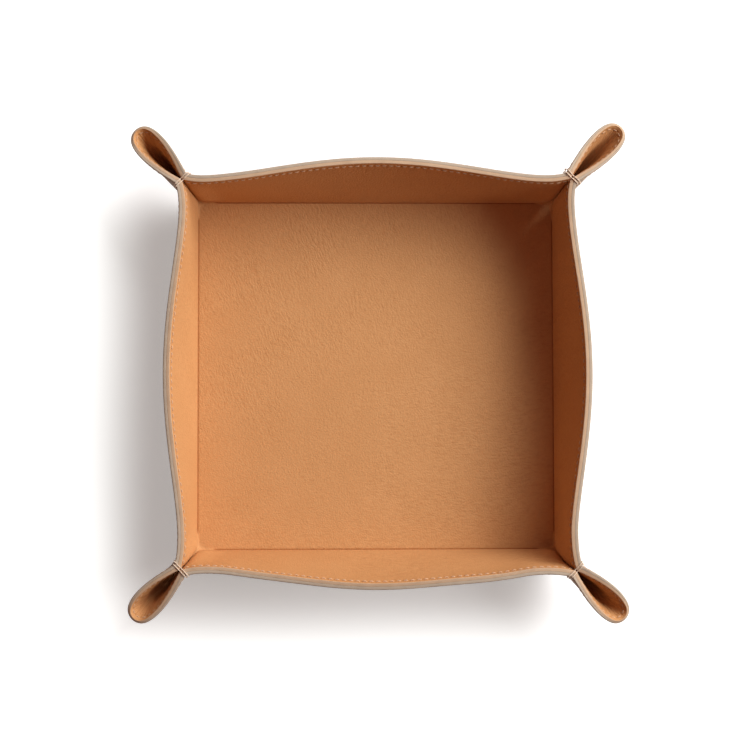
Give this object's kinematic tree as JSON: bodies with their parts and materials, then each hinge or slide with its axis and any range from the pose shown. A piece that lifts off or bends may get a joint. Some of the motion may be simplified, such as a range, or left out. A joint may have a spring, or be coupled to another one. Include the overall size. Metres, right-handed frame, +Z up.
{
  "type": "leather catch-all tray",
  "caption": "Square two-layer leather tray with pinched corner ears, sewn rim and a stiff flat base, for holding keys and other small things.",
  "frame": {"origin": "middle of the flat underside, at the height of the surface that the tray stands on", "axes": "+X to the right along the longer side of the base, +Y to the back, +Z up out of the tray's mouth"},
  "size_m": [0.2382, 0.2366, 0.0456],
  "materials": {
    "lining_leather": "matt tan grain",
    "outer_leather": "matt taupe grain",
    "stiff_board": "plain fibre board",
    "linen_thread": "waxed thread"
  },
  "bodies": {
    "root": {"lining_leather": "lining_leather", "outer_leather": "outer_leather", "base_board": "stiff_board", "needle_thread": "linen_thread", "bobbin_thread": "linen_thread", "corner_tack_back_right": "linen_thread", "corner_tack_back_left": "linen_thread", "corner_tack_front_left": "linen_thread", "corner_tack_front_right": "linen_thread"}
  },
  "joints": []
}
